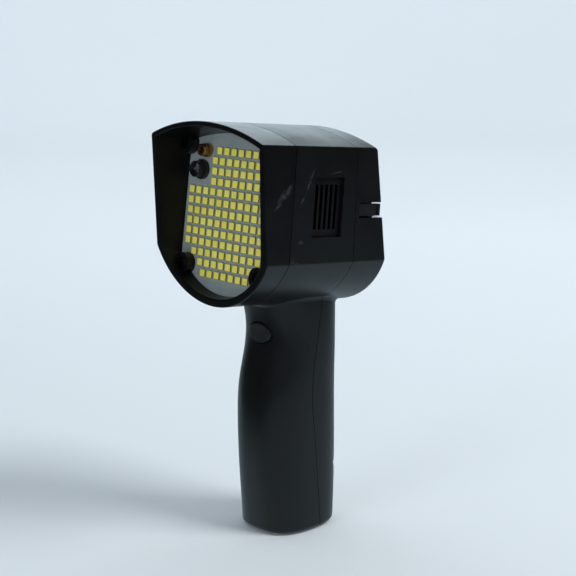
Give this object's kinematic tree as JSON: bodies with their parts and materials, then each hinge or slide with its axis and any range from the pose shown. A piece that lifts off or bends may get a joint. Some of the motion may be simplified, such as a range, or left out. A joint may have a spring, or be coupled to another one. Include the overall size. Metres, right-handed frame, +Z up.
{
  "type": "timing light",
  "caption": "Pistol-shaped LED timing light: hooded LED head with laser pointer and light receiver, rear display with keys, and an oval grip with a trigger button.",
  "frame": {"origin": "middle of the flat base of the handle, on the surface that it stands on", "axes": "+Z up along the handle, light leaves towards -Y, +X towards the charging port"},
  "size_m": [0.0792, 0.0845, 0.2075],
  "materials": {
    "shell_black": "satin moulded ABS, near black",
    "hood_black": "smooth moulded ABS, a little glossier than the housings",
    "rubber_black": "matt black rubber",
    "key_grey": "dark grey silicone rubber",
    "trigger_black": "glossy black moulding",
    "board_white": "white solder mask",
    "led_yellow": "yellow phosphor gel in a pale frame",
    "board_green": "green solder mask",
    "brass": "turned brass",
    "steel": "zinc plated steel",
    "heat_sink_aluminium": "extruded aluminium",
    "tube_black": "black moulded tube",
    "lens_glass": "polished lens",
    "window_clear": "clear polycarbonate",
    "lcd_grey": "liquid crystal glass, unlit",
    "inner_white": "white moulding",
    "inner_black": "black moulding",
    "cell_sleeve": "heat-shrunk blue film over a steel can",
    "wire_red": "silicone insulation",
    "wire_black": "silicone insulation"
  },
  "bodies": {
    "case": {"front_housing": "shell_black", "rear_housing": "shell_black", "front_hood": "hood_black", "hood_gasket": "rubber_black", "led_board": "board_white", "led_array": "led_yellow", "main_board": "board_green", "trigger_board": "board_green", "laser_barrel": "brass", "tripod_insert": "brass", "battery_contacts": "brass", "hood_screws": "steel", "housing_screws": "steel", "board_screws": "steel", "trigger_spring": "steel", "cover_pin": "steel", "charge_jack": "steel", "vent_gauze_left": "steel", "vent_gauze_right": "steel", "laser_diode": "steel", "photodiode": "steel", "heat_sink": "heat_sink_aluminium", "sensor_tube": "tube_black", "laser_lens": "lens_glass", "sensor_lens": "lens_glass", "display_window": "window_clear", "lcd_panel": "lcd_grey", "lcd_bezel": "inner_white", "backlight": "inner_white", "battery_holder": "inner_black", "key_switches": "inner_black", "trigger_switch": "inner_black", "battery_front": "cell_sleeve", "battery_rear": "cell_sleeve", "battery_lead_positive": "wire_red", "led_lead_positive": "wire_red", "battery_lead_negative": "wire_black", "led_lead_negative": "wire_black"},
    "trigger": {"trigger_button": "trigger_black"},
    "cover": {"port_cover": "rubber_black"},
    "power_key": {"key_power": "key_grey"},
    "mode_key": {"key_mode": "key_grey"},
    "up_key": {"key_up": "key_grey"},
    "halve_key": {"key_halve": "key_grey"},
    "double_key": {"key_double": "key_grey"},
    "down_key": {"key_down": "key_grey"}
  },
  "joints": [
    {"name": "trigger_press", "type": "slide", "parent": "case", "child": "trigger", "axis": [0, 1, 0], "range_m": [0, 0.0015], "stiffness_N_per_m": 900, "springref_m": -0.0015, "deforming": ["trigger_spring"]},
    {"name": "key_power_press", "type": "slide", "parent": "case", "child": "power_key", "axis": [0, -0.9939, -0.1107], "range_m": [0, 0.0008], "stiffness_N_per_m": 1500, "springref_m": -0.0008},
    {"name": "key_mode_press", "type": "slide", "parent": "case", "child": "mode_key", "axis": [0, -0.9939, -0.1107], "range_m": [0, 0.0008], "stiffness_N_per_m": 1500, "springref_m": -0.0008},
    {"name": "key_up_press", "type": "slide", "parent": "case", "child": "up_key", "axis": [0, -0.9939, -0.1107], "range_m": [0, 0.0008], "stiffness_N_per_m": 1500, "springref_m": -0.0008},
    {"name": "key_halve_press", "type": "slide", "parent": "case", "child": "halve_key", "axis": [0, -0.9939, -0.1107], "range_m": [0, 0.0008], "stiffness_N_per_m": 1500, "springref_m": -0.0008},
    {"name": "key_double_press", "type": "slide", "parent": "case", "child": "double_key", "axis": [0, -0.9939, -0.1107], "range_m": [0, 0.0008], "stiffness_N_per_m": 1500, "springref_m": -0.0008},
    {"name": "key_down_press", "type": "slide", "parent": "case", "child": "down_key", "axis": [0, -0.9939, -0.1107], "range_m": [0, 0.0008], "stiffness_N_per_m": 1500, "springref_m": -0.0008},
    {"name": "cover_hinge", "type": "hinge", "parent": "case", "child": "cover", "pos_m": [0.0375, 0.01016, 0.16381], "axis": [0, -0.095, -0.9955], "range_deg": [0, 75]}
  ]
}
